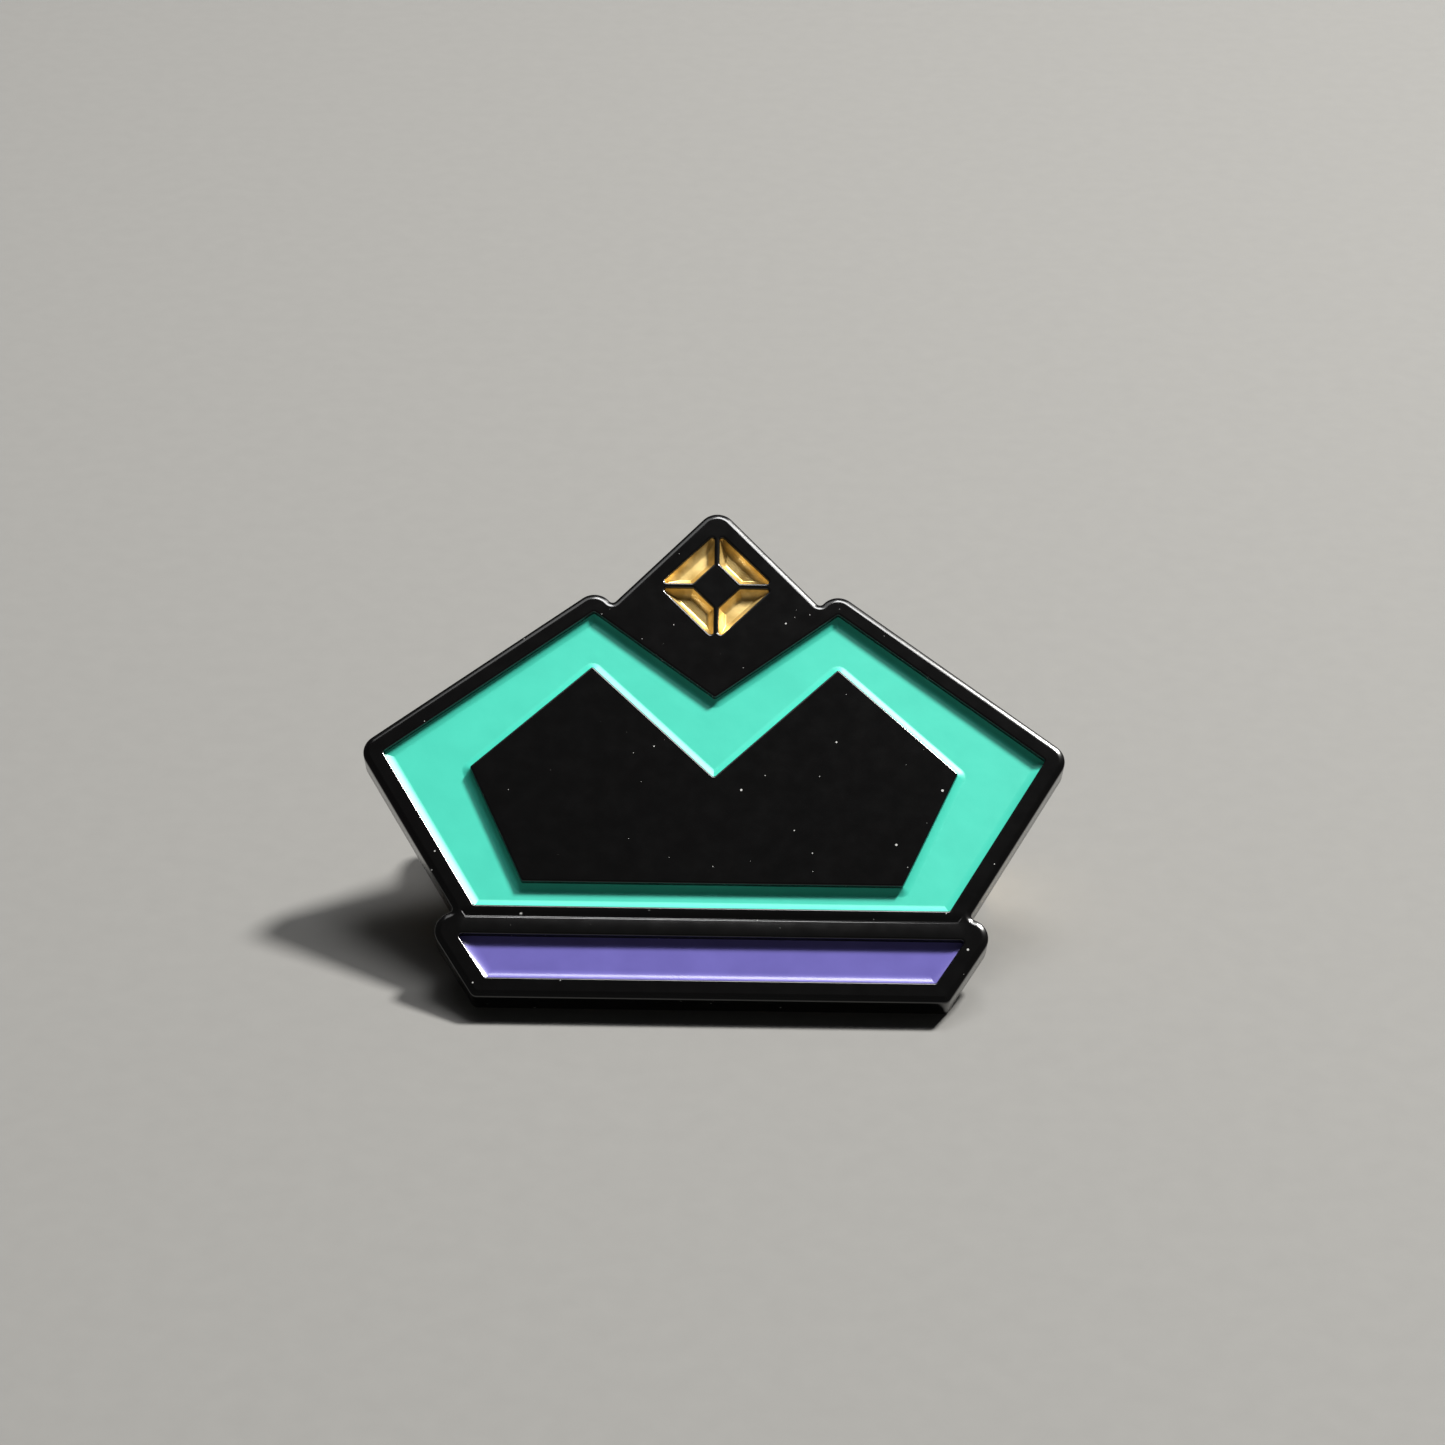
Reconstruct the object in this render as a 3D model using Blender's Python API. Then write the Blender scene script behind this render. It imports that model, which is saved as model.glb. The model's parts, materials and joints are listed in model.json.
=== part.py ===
"""Crown-shaped soft-enamel pin, leaning back on its two butterfly clutches.

Every design number is in millimetres or degrees, and the mesh builders write metres. The pin is drawn in
a face frame: +X to the right, +Z up the face, and +Y from the front face towards the back. Each clutch
is drawn in its own frame on its post: X across the wings, Y along the post away from the back face, and
Z along the wings' hinge pins. The stand empty then leans the whole pin back, until the bottom edge and
the points of the posts touch the ground.
"""

import math

import bmesh
import bpy
from mathutils import Vector

MM = 0.001
GAP = 0.03  # left between two solids that touch on the real pin

# The struck plate
RIM = 0.9  # width of the raised metal line round the whole outline
THICKNESS = 1.6
EDGE_RADIUS = 0.25  # rounding of the plate's front edge
FOOT_CORNER = 0.35
NOTCH_FILLET = 0.2
CELL_DEPTH = 0.75  # from the front face to the floor of an enamel cell
ENAMEL_SINK = 0.4  # from the front face down to the enamel's surface
GOLD_SINK = 0.5

# Corners of the drawing on the face, as (x, z), right half only
BASE_FOOT = (10.05, 0.9)
BASE_TOP = (11.46, 3.12)
LEG_FOOT = (10.65, 4.35)
SHOULDER = (15.075, 11.75)
PEAK = (5.65, 18.95)
VALLEY = (0.0, 14.65)
APEX = (0.0, 23.2)
BASE_CELL_FOOT = (10.0, 0.92)
BASE_CELL_TOP = (11.35, 2.97)
PANEL_FOOT = (8.55, 5.5)
PANEL_SHOULDER = (11.1, 11.05)
PANEL_PEAK = (5.65, 16.15)
PANEL_VALLEY = (0.0, 10.7)
APEX_FACING = 43.0  # direction that the diamond's upper right edge faces

# The cut-gem recess in the diamond
GEM_CENTRE_Z = 20.35
GEM_HALF_WIDTH = 2.7
GEM_HALF_HEIGHT = 2.8
TABLE_HALF_WIDTH = 1.2
TABLE_HALF_HEIGHT = 1.25
RIDGE_HALF_WIDTH = 0.12

# Needle posts, soldered to the back
POST_X = 7.0
POST_PAD_RADIUS = 2.4
POST_PAD_THICKNESS = 0.35
POST_RADIUS = 0.55
POST_LENGTH = 8.0
POST_NECK_RADIUS = 0.4
POST_NECK_START = 5.4
POST_NECK_END = 6.0
POST_TIP_START = 6.5
SOLDER_WIDTH = 0.5

# Butterfly clutch; heights are measured from the pin's back face
CLUTCH_HOLE_RADIUS = 0.62
SHEET = 0.35
CLUTCH_FLOOR = 0.45
CURL_CENTRE_RADIUS = 5.25
CURL_RADIUS = 0.45
COVER_RADIUS = 3.3
COVER_WALL = 0.3
COVER_TOP = 2.65
COVER_CORNER = 0.35
SLOT_START = 1.9
SLOT_HALF_WIDTH = 1.95
SPRING_WIRE_RADIUS = 0.2
SPRING_HEIGHT = 2.0
SPRING_LEG_FRONT = 1.5
SPRING_LEG_BACK = -1.9

# Wing of the clutch, from its foot under the cover to its finger tip
WING_HINGE_X = 2.7
WING_HINGE_HEIGHT = 1.33
WING_FOOT_X = 1.05
WING_TIP_X = 5.5
WING_TIP_HEIGHT = 6.5
WING_FOOT_HALF_WIDTH = 1.75
WING_HANDLE_HALF_WIDTH = 2.5
WING_TIP_CORNER = 1.3

LEAN = 53.0  # of the face from upright, backwards
ROUND_STEPS = 32
CORNER_STEPS = 7

BLACK_PLATING = ("black_plating", (0.008, 0.008, 0.009), 0.22, 0.75)
TEAL_ENAMEL = ("teal_enamel", (0.045, 0.56, 0.42), 0.28, 0.0)
PURPLE_ENAMEL = ("purple_enamel", (0.13, 0.11, 0.42), 0.15, 0.0)
GOLD_ENAMEL = ("gold_enamel", (0.62, 0.37, 0.08), 0.3, 0.8)
SOLDER = ("solder", (0.05, 0.05, 0.055), 0.4, 0.9)
CLUTCH_BRASS = ("clutch_brass", (0.75, 0.53, 0.22), 0.25, 1.0)
SPRING_STEEL = ("spring_steel", (0.45, 0.45, 0.46), 0.3, 1.0)


# ---------------------------------------------------------------- scene helpers


def clear_scene():
    for thing in list(bpy.data.objects):
        bpy.data.objects.remove(thing, do_unlink=True)


def material(finish):
    """The Principled material of a finish, made once."""
    name, colour, roughness, metallic = finish
    found = bpy.data.materials.get(name)
    if found:
        return found
    made = bpy.data.materials.new(name)
    made.use_nodes = True
    shader = made.node_tree.nodes["Principled BSDF"]
    shader.inputs["Base Color"].default_value = (*colour, 1.0)
    shader.inputs["Roughness"].default_value = roughness
    shader.inputs["Metallic"].default_value = metallic
    return made


def empty(name, parent=None, location=(0.0, 0.0, 0.0)):
    """An empty at a place given in millimetres."""
    made = bpy.data.objects.new(name, None)
    bpy.context.scene.collection.objects.link(made)
    made.parent = parent
    made.location = Vector(location) * MM
    return made


def add_object(name, data, finish, parent, location=(0.0, 0.0, 0.0)):
    """An object for a mesh or a curve whose own numbers are already in metres."""
    made = bpy.data.objects.new(name, data)
    bpy.context.scene.collection.objects.link(made)
    made.parent = parent
    made.location = Vector(location) * MM
    data.materials.append(material(finish))
    return made


def mesh_from(bm, name, smooth_angle=35.0):
    """Turns a bmesh drawn in millimetres into a mesh in metres, facing out."""
    bmesh.ops.recalc_face_normals(bm, faces=bm.faces)
    bmesh.ops.scale(bm, vec=(MM, MM, MM), verts=bm.verts)
    mesh = bpy.data.meshes.new(name)
    bm.to_mesh(mesh)
    bm.free()
    mesh.shade_smooth()
    mesh.set_sharp_from_angle(angle=math.radians(smooth_angle))
    return mesh


def cut(target, cutter):
    """Takes the cutter's shape out of the target, and hides the cutter."""
    modifier = target.modifiers.new("cut_" + cutter.name, "BOOLEAN")
    modifier.operation = "DIFFERENCE"
    modifier.solver = "EXACT"
    modifier.object = cutter
    cutter.hide_render = True
    cutter.display_type = "WIRE"


# ---------------------------------------------------------------- flat outlines


def arc(centre, radius, start, end, steps=CORNER_STEPS):
    """Points round a centre, from one angle to another, in degrees."""
    turn = [math.radians(start + (end - start) * i / steps) for i in range(steps + 1)]
    return [(centre[0] + radius * math.cos(t), centre[1] + radius * math.sin(t)) for t in turn]


def normal_angle(start, end):
    """Direction, in degrees, that points to the right of the way from start to end."""
    return math.degrees(math.atan2(end[1] - start[1], end[0] - start[0])) - 90.0


def notch(centre, line_point, line_angle):
    """Where the rim's round corner at centre runs into a straight run of the rim, with a small fillet.

    The run lies a rim's width from line_point, in the direction line_angle. Returns the angle where the
    round corner ends, and the fillet's points.
    """
    away = math.radians(line_angle)
    reach = RIM + NOTCH_FILLET
    across = (line_point[0] - centre[0]) * math.cos(away)
    along = (line_point[1] - centre[1]) * math.sin(away)
    end = line_angle + math.degrees(math.acos((across + along + reach) / reach))
    turn = math.radians(end)
    middle = (centre[0] + reach * math.cos(turn), centre[1] + reach * math.sin(turn))
    return end, arc(middle, NOTCH_FILLET, end + 180.0, line_angle + 180.0)


def foot_centre(side_angle):
    """Centre of the small corner between the bottom edge and the base's side, which faces side_angle."""
    away = math.radians(side_angle)
    inset = RIM - FOOT_CORNER
    drop = (FOOT_CORNER - BASE_FOOT[1]) * math.sin(away)
    return (BASE_FOOT[0] + (inset - drop) / math.cos(away), FOOT_CORNER)


def plate_outline():
    """The pin's outline: everything within the rim's width of the crown, the base bar and the diamond."""
    base_side = normal_angle(BASE_FOOT, BASE_TOP)
    leg = normal_angle(LEG_FOOT, SHOULDER)
    upper = normal_angle(SHOULDER, PEAK)
    base_end, base_fillet = notch(BASE_TOP, LEG_FOOT, leg)
    peak_end, peak_fillet = notch(PEAK, APEX, APEX_FACING)
    right = arc(foot_centre(base_side), FOOT_CORNER, -90.0, base_side)
    right += arc(BASE_TOP, RIM, base_side, base_end) + base_fillet[1:]
    right += arc(SHOULDER, RIM, leg, upper)
    right += arc(PEAK, RIM, upper, peak_end) + peak_fillet[1:]
    right += arc(APEX, RIM, APEX_FACING, 90.0)
    left = [(-x, z) for x, z in reversed(right[:-1])]
    return right + left


def mirrored(right):
    """A closed outline from its right half, listed from the bottom up. Points on the axis stay single."""
    left = [(-x, z) for x, z in reversed(right) if x > 0.0]
    return list(right) + left


def offset(points, distance):
    """A closed outline, listed anticlockwise, moved outwards by distance with mitred corners."""
    moved = []
    for before, corner, after in zip(points[-1:] + points[:-1], points, points[1:] + points[:1]):
        first = math.radians(normal_angle(before, corner))
        second = math.radians(normal_angle(corner, after))
        middle = (first + second) / 2.0
        if abs(first - second) > math.pi:
            middle += math.pi
        stretch = distance / math.cos(middle - first)
        moved.append((corner[0] + stretch * math.cos(middle), corner[1] + stretch * math.sin(middle)))
    return moved


def crown_cell():
    return mirrored([LEG_FOOT, SHOULDER, PEAK, VALLEY])


def panel_island():
    return mirrored([PANEL_FOOT, PANEL_SHOULDER, PANEL_PEAK, PANEL_VALLEY])


def base_cell():
    return mirrored([BASE_CELL_FOOT, BASE_CELL_TOP])


def gem_facet(side, up):
    """One of the four gold facets: side and up are 1 or -1 and pick the quarter."""
    line = RIDGE_HALF_WIDTH
    outer_w, outer_h = GEM_HALF_WIDTH, GEM_HALF_HEIGHT
    inner_w, inner_h = TABLE_HALF_WIDTH, TABLE_HALF_HEIGHT
    quarter = [
        (outer_w * (1.0 - line / outer_h), line),
        (line, outer_h * (1.0 - line / outer_w)),
        (line, inner_h * (1.0 - line / inner_w)),
        (inner_w * (1.0 - line / inner_h), line),
    ]
    placed = [(side * x, GEM_CENTRE_Z + up * z) for x, z in quarter]
    return placed if side * up > 0 else placed[::-1]


# ---------------------------------------------------------------- solids


def prism(name, loops, front, back):
    """Mesh of a flat outline with any holes, from depth front to depth back."""
    bm = bmesh.new()
    edges = []
    for loop in loops:
        ring = [bm.verts.new((x, front, z)) for x, z in loop]
        edges += [bm.edges.new(pair) for pair in zip(ring, ring[1:] + ring[:1])]
    bmesh.ops.triangle_fill(bm, use_beauty=True, edges=edges)
    raised = bmesh.ops.extrude_face_region(bm, geom=bm.faces[:])
    moved = [item for item in raised["geom"] if isinstance(item, bmesh.types.BMVert)]
    bmesh.ops.translate(bm, vec=(0.0, back - front, 0.0), verts=moved)
    return mesh_from(bm, name)


def stack(name, layers):
    """Mesh through a stack of outlines with as many points each: layers holds (outline, depth)."""
    bm = bmesh.new()
    rings = [[bm.verts.new((x, depth, z)) for x, z in outline] for outline, depth in layers]
    for lower, upper in zip(rings, rings[1:]):
        count = len(lower)
        for i in range(count):
            j = (i + 1) % count
            bm.faces.new((lower[i], lower[j], upper[j], upper[i]))
    bm.faces.new(rings[0])
    bm.faces.new(rings[-1])
    return mesh_from(bm, name)


def turned(name, profile, closed):
    """Mesh of a profile of (radius, height) points spun round the Y axis.

    A closed profile makes a ring; an open one starts and ends on the axis.
    """
    bm = bmesh.new()
    verts = [bm.verts.new((radius, height, 0.0)) for radius, height in profile]
    pairs = list(zip(verts, verts[1:]))
    if closed:
        pairs.append((verts[-1], verts[0]))
    edges = [bm.edges.new(pair) for pair in pairs]
    bmesh.ops.spin(
        bm,
        geom=verts + edges,
        cent=(0.0, 0.0, 0.0),
        axis=(0.0, 1.0, 0.0),
        angle=math.tau,
        steps=ROUND_STEPS,
        use_merge=True,
    )
    bmesh.ops.remove_doubles(bm, verts=bm.verts, dist=0.001)
    return mesh_from(bm, name)


def wire(name, points, radius):
    """Curve of a round wire through points in millimetres."""
    curve = bpy.data.curves.new(name, "CURVE")
    curve.dimensions = "3D"
    spline = curve.splines.new("POLY")
    spline.points.add(len(points) - 1)
    for slot, point in zip(spline.points, points):
        slot.co = (*(Vector(point) * MM), 1.0)
    curve.bevel_depth = radius * MM
    curve.bevel_resolution = 2
    curve.use_fill_caps = True
    return curve


# ---------------------------------------------------------------- the pin


def make_plate(parent):
    """The struck metal plate, with its rounded front edge and its enamel cells."""
    outline = plate_outline()
    layers = []
    for inset, sink in arc((EDGE_RADIUS, EDGE_RADIUS), EDGE_RADIUS, 270.0, 180.0, steps=5):
        layers.append((offset(outline, -inset), sink))
    layers.append((outline, THICKNESS))
    plate = add_object("pin_body", stack("pin_body", layers), BLACK_PLATING, parent)
    above = -EDGE_RADIUS  # cutters start clear of the front face
    for name, loops in (
        ("crown_cutter", [crown_cell(), panel_island()]),
        ("base_cutter", [base_cell()]),
    ):
        cutter = add_object(name, prism(name, loops, above, CELL_DEPTH), BLACK_PLATING, parent)
        cut(plate, cutter)
    for side in (-1, 1):
        for up in (-1, 1):
            name = f"gem_cutter_{side}_{up}"
            shape = prism(name, [gem_facet(side, up)], above, CELL_DEPTH)
            cut(plate, add_object(name, shape, BLACK_PLATING, parent))


def make_enamel(parent):
    """The colour fills, each lying on its cell's floor just clear of the walls."""
    floor = CELL_DEPTH - GAP
    crown = [offset(crown_cell(), -GAP), offset(panel_island(), GAP)]
    add_object("teal_enamel", prism("teal_enamel", crown, ENAMEL_SINK, floor), TEAL_ENAMEL, parent)
    bar = [offset(base_cell(), -GAP)]
    add_object("purple_enamel", prism("purple_enamel", bar, ENAMEL_SINK, floor), PURPLE_ENAMEL, parent)
    for side, across in ((-1, "left"), (1, "right")):
        for up, along in ((-1, "lower"), (1, "upper")):
            name = f"gold_facet_{along}_{across}"
            facet = [offset(gem_facet(side, up), -GAP)]
            add_object(name, prism(name, facet, GOLD_SINK, floor), GOLD_ENAMEL, parent)


def make_post(side, parent):
    """A needle post: its pad, shaft, gripping neck and point, and the solder round the pad."""
    pad_top = GAP + POST_PAD_THICKNESS
    shaft = [
        (0.0, GAP),
        (POST_PAD_RADIUS, GAP),
        (POST_PAD_RADIUS, pad_top),
        (POST_RADIUS, pad_top),
        (POST_RADIUS, POST_NECK_START),
        (POST_NECK_RADIUS, POST_NECK_START + 0.15),
        (POST_NECK_RADIUS, POST_NECK_END - 0.15),
        (POST_RADIUS, POST_NECK_END),
        (POST_RADIUS, POST_TIP_START),
        (0.3, 0.5 * (POST_TIP_START + POST_LENGTH)),
        (0.0, POST_LENGTH),
    ]
    add_object(f"{side}_post", turned(f"{side}_post", shaft, closed=False), BLACK_PLATING, parent)
    inner = POST_PAD_RADIUS + GAP
    fillet = [
        (inner, GAP),
        (inner + SOLDER_WIDTH, GAP),
        (inner + 0.4 * SOLDER_WIDTH, GAP + 0.3 * POST_PAD_THICKNESS),
        (inner, GAP + 0.8 * POST_PAD_THICKNESS),
    ]
    name = f"{side}_post_solder"
    add_object(name, turned(name, fillet, closed=True), SOLDER, parent)


# ---------------------------------------------------------------- the clutches


def make_clutch_base(side, parent):
    """The round sheet base with its curled edge."""
    top = CLUTCH_FLOOR + SHEET
    centre = (CURL_CENTRE_RADIUS, CLUTCH_FLOOR + CURL_RADIUS)
    profile = [(CLUTCH_HOLE_RADIUS, top), (CLUTCH_HOLE_RADIUS, CLUTCH_FLOOR)]
    profile += arc(centre, CURL_RADIUS, -90.0, 150.0, steps=10)
    profile += arc(centre, CURL_RADIUS - SHEET, 150.0, -90.0, steps=5)
    name = f"{side}_clutch_base"
    add_object(name, turned(name, profile, closed=True), CLUTCH_BRASS, parent)


def make_cover(side, parent):
    """The cap over the wings' feet and the spring, open on both sides where the wings come out."""
    inside = COVER_RADIUS - COVER_WALL
    bottom = CLUTCH_FLOOR + SHEET + GAP
    ceiling = COVER_TOP - COVER_WALL
    corner = (COVER_RADIUS - COVER_CORNER, COVER_TOP - COVER_CORNER)
    profile = [(inside, ceiling), (inside, bottom), (COVER_RADIUS, bottom)]
    profile += arc(corner, COVER_CORNER, 0.0, 90.0, steps=4)
    profile += [(CLUTCH_HOLE_RADIUS, COVER_TOP), (CLUTCH_HOLE_RADIUS, ceiling)]
    name = f"{side}_clutch_cover"
    cover = add_object(name, turned(name, profile, closed=True), CLUTCH_BRASS, parent)
    reach = COVER_RADIUS + 1.0
    for across in (-1, 1):
        start, end = sorted((across * SLOT_START, across * reach))
        outline = [
            (start, -SLOT_HALF_WIDTH),
            (end, -SLOT_HALF_WIDTH),
            (end, SLOT_HALF_WIDTH),
            (start, SLOT_HALF_WIDTH),
        ]
        cutter_name = f"{side}_slot_cutter_{across}"
        shape = prism(cutter_name, [outline], 0.0, COVER_TOP + 1.0)
        cut(cover, add_object(cutter_name, shape, CLUTCH_BRASS, parent))


def make_spring(side, parent):
    """The hairpin wire that grips the post."""
    bend = POST_RADIUS + SPRING_WIRE_RADIUS + GAP
    route = [(bend, SPRING_LEG_BACK)]
    route += arc((0.0, SPRING_LEG_FRONT), bend, 0.0, 180.0, steps=12)
    route.append((-bend, SPRING_LEG_BACK))
    points = [(x, SPRING_HEIGHT, z) for x, z in route]
    name = f"{side}_grip_spring"
    add_object(name, wire(name, points, SPRING_WIRE_RADIUS), SPRING_STEEL, parent)


def wing_stations():
    """The wing as (x, height, half width) along its middle line, from the foot to the finger tip."""
    foot = [(WING_FOOT_X, WING_HINGE_HEIGHT, WING_FOOT_HALF_WIDTH)]
    start = Vector((WING_HINGE_X, WING_HINGE_HEIGHT))
    end = Vector((WING_TIP_X, WING_TIP_HEIGHT))
    bulge = Vector((WING_TIP_X - 0.3, WING_HINGE_HEIGHT + 1.2))
    handle = []
    steps = 16
    for i in range(steps + 1):
        t = i / steps
        place = start * (1.0 - t) ** 2 + bulge * (2.0 * t * (1.0 - t)) + end * t**2
        left = (1.0 - t) * (end - start).length
        width = WING_FOOT_HALF_WIDTH
        width += (WING_HANDLE_HALF_WIDTH - WING_FOOT_HALF_WIDTH) * min(1.0, 3.0 * t)
        if left < WING_TIP_CORNER:
            short = 1.0 - left / WING_TIP_CORNER
            width -= WING_TIP_CORNER * (1.0 - math.sqrt(1.0 - short * short))
        handle.append((place.x, place.y, width))
    return foot + handle


def make_wing(name, across, parent):
    """One finger wing, bent from sheet. Its origin lies on its hinge axis; across is 1 or -1."""
    stations = wing_stations()
    bm = bmesh.new()
    rings = []
    for i, (x, height, width) in enumerate(stations):
        before = Vector(stations[max(i - 1, 0)][:2])
        after = Vector(stations[min(i + 1, len(stations) - 1)][:2])
        along = (after - before).normalized()
        thick = Vector((-along.y, along.x)) * (SHEET / 2.0)
        place = Vector((x - WING_HINGE_X, height - WING_HINGE_HEIGHT))
        ring = []
        for offset_2d, z in ((thick, -width), (thick, width), (-thick, width), (-thick, -width)):
            spot = place + offset_2d
            ring.append(bm.verts.new((across * spot.x, spot.y, z)))
        rings.append(ring)
    for near, far in zip(rings, rings[1:]):
        for i in range(4):
            j = (i + 1) % 4
            bm.faces.new((near[i], near[j], far[j], far[i]))
    bm.faces.new(rings[0])
    bm.faces.new(rings[-1])
    hinge = (across * WING_HINGE_X, WING_HINGE_HEIGHT, 0.0)
    add_object(name, mesh_from(bm, name), CLUTCH_BRASS, parent, hinge)


def make_clutch(side, outward, parent):
    """A whole clutch; outward is 1 or -1, the way from the pin's middle."""
    make_clutch_base(side, parent)
    make_cover(side, parent)
    make_spring(side, parent)
    make_wing(f"{side}_outer_wing", outward, parent)
    make_wing(f"{side}_inner_wing", -outward, parent)


def post_height():
    """How far up the face the posts sit, so that their points meet the ground as the pin leans."""
    return POST_LENGTH * math.tan(math.radians(LEAN))


def settle(stand):
    """Moves the stand so that the whole pin's box stands on the origin, centred."""
    bpy.context.view_layer.update()
    graph = bpy.context.evaluated_depsgraph_get()
    corners = []
    for thing in bpy.data.objects:
        if thing.type in ("MESH", "CURVE") and not thing.hide_render:
            shape = thing.evaluated_get(graph)
            mesh = shape.to_mesh()
            corners += [thing.matrix_world @ vertex.co for vertex in mesh.vertices]
            shape.to_mesh_clear()
    low = Vector(tuple(min(point[i] for point in corners) for i in range(3)))
    high = Vector(tuple(max(point[i] for point in corners) for i in range(3)))
    stand.location -= Vector(((low.x + high.x) / 2.0, (low.y + high.y) / 2.0, low.z))


def main():
    clear_scene()
    stand = empty("stand")
    stand.rotation_euler = (math.radians(-LEAN), 0.0, 0.0)
    make_plate(stand)
    make_enamel(stand)
    for side, outward in (("left", -1), ("right", 1)):
        axis = empty(f"{side}_post_axis", stand, (outward * POST_X, THICKNESS, post_height()))
        make_post(side, axis)
        make_clutch(side, outward, axis)
    settle(stand)


main()
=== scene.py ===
"""Looks of the crown-shaped enamel pin: fine meshes and finishes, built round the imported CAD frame.

Shapes are drawn in millimetres, in two frames. The face frame has +X to the right, +Z up the face and
+Y from the front face to the back. A clutch frame sits where a post meets the back face, turned the
same way, so +Y runs along the post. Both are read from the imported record.
"""

import json
import math

import bmesh
import bpy
from mathutils import Matrix, Vector

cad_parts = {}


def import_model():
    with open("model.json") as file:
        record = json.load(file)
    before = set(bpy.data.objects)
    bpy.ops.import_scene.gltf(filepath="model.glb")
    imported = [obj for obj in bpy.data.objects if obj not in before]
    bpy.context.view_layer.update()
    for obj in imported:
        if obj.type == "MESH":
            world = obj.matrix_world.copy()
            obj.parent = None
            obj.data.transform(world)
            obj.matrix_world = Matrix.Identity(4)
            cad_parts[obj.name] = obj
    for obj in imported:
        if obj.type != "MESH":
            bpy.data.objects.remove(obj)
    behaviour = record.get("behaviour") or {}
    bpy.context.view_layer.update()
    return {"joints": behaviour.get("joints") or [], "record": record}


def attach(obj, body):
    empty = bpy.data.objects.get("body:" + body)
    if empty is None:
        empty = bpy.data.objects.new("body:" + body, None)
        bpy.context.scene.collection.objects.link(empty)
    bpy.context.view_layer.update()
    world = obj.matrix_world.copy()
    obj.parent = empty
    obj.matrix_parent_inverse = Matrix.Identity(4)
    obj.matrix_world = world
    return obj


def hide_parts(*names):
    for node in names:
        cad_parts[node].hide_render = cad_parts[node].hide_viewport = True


MM = 0.001

# The struck plate
RIM = 0.9  # width of the raised line round the outline
THICKNESS = 1.6
MOUNT_HEIGHT = 10.6  # of the record's mount, up the face
SHOULDER_WIDTH = 0.3  # of the soft shoulder along the rim's outer edge
SHOULDER_SLOPE = 0.5  # at its outer end
SHOULDER_EASE = 1.5  # how late the slope steepens
SHOULDER_ROUND = 0.1
BACK_EDGE = (0.12, 0.12)
FOOT_CORNER = 0.35
NOTCH_FILLET = 0.2
LIP = (0.09, 0.07)  # rounding where the face turns down into a cell
CELL_CORNER = 0.12
SMALLEST_CORNER = 0.02
CELL_DEPTH = 0.75
DRAFT = 0.04
GUARD = 0.02  # flat strip that keeps a wide face's shading flat

# Corners of the drawing on the face, as (x, z), right half only
BASE_FOOT = (10.05, 0.9)
BASE_TOP = (11.46, 3.12)
LEG_FOOT = (10.65, 4.35)
SHOULDER = (15.075, 11.75)
PEAK = (5.65, 18.95)
VALLEY = (0.0, 14.65)
APEX = (0.0, 23.2)
APEX_FACING = 43.0
BASE_CELL_FOOT = (10.0, 0.92)
BASE_CELL_TOP = (11.35, 2.97)
PANEL_FOOT = (8.55, 5.5)
PANEL_SHOULDER = (11.1, 11.05)
PANEL_PEAK = (5.65, 16.15)
PANEL_VALLEY = (0.0, 10.7)

# The cut-gem recess
GEM_CENTRE_Z = 20.35
GEM_HALF_WIDTH = 2.7
GEM_HALF_HEIGHT = 2.8
TABLE_HALF_WIDTH = 1.2
TABLE_HALF_HEIGHT = 1.25
RIDGE_HALF_WIDTH = 0.12

# Groove between the base bar's rim and the crown
GROOVE_Z = 3.83
GROOVE_HALF_WIDTH = 0.1
GROOVE_DEPTH = 0.05
GROOVE_END = 0.3  # length of each tapering end

# Enamel: depth of its flat middle, and how wide and how high it creeps up the walls
TEAL_FILL = {"sink": 0.4, "width": 0.38, "rise": 0.15, "curl": 1.35, "pool": 0.0}
PURPLE_FILL = {"sink": 0.38, "width": 0.5, "rise": 0.1, "curl": 2.0, "pool": 0.5}
GOLD_FILL = {"sink": 0.5, "width": 0.34, "rise": 0.36, "curl": 1.6, "pool": 0.0}
FILL_CLEARANCE = 0.008  # from the cell's walls
FILL_FLOOR_CLEARANCE = 0.01

# Needle posts
POST_PAD_RADIUS = 2.4
POST_PAD_THICKNESS = 0.35
POST_PAD_ROUND = 0.1
POST_RADIUS = 0.55
POST_ROOT_ROUND = 0.15
POST_LENGTH = 8.0
POST_NECK_RADIUS = 0.4
POST_NECK_START = 5.4
POST_NECK_END = 6.0
POST_NECK_TAPER = 0.15
POST_TIP_START = 6.5
POST_TIP_BULGE = 1.6  # 1 would be a plain cone
SOLDER_WIDTH = 0.5
SOLDER_GAP = 0.01
SOLDER_CLIMB = 0.85  # up the pad's edge, as a share of its thickness
SOLDER_SWELL = 0.08
SOLDER_TAPER = 1.2
GAP = 0.03  # between pieces that touch

# Butterfly clutch; heights are measured from the pin's back face
CLUTCH_HOLE_RADIUS = 0.62
CLUTCH_HOLE_EDGE = 0.03
SHEET = 0.35
CLUTCH_FLOOR = 0.45
CURL_CENTRE_RADIUS = 5.25
CURL_RADIUS = 0.45
CURL_END = 150.0  # degrees from straight outwards
PRESSED_RING_RADIUS = 4.6
PRESSED_RING_WIDTH = 0.9
PRESSED_RING_HEIGHT = 0.06
COVER_RADIUS = 3.3
COVER_WALL = 0.3
COVER_TOP = 2.65
COVER_CORNER = 0.35
COVER_EDGE = 0.05
COVER_DIMPLE = ((1.25, 0.0), (1.1, 0.09), (0.8, 0.12), (CLUTCH_HOLE_RADIUS, 0.14))  # (radius, sink)
SLOT_START = 1.9
SLOT_HALF_WIDTH = 1.95
CUT_MARGIN = 1.0
SPRING_WIRE_RADIUS = 0.2
SPRING_HEIGHT = 2.0
SPRING_LEG_FRONT = 1.5
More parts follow.
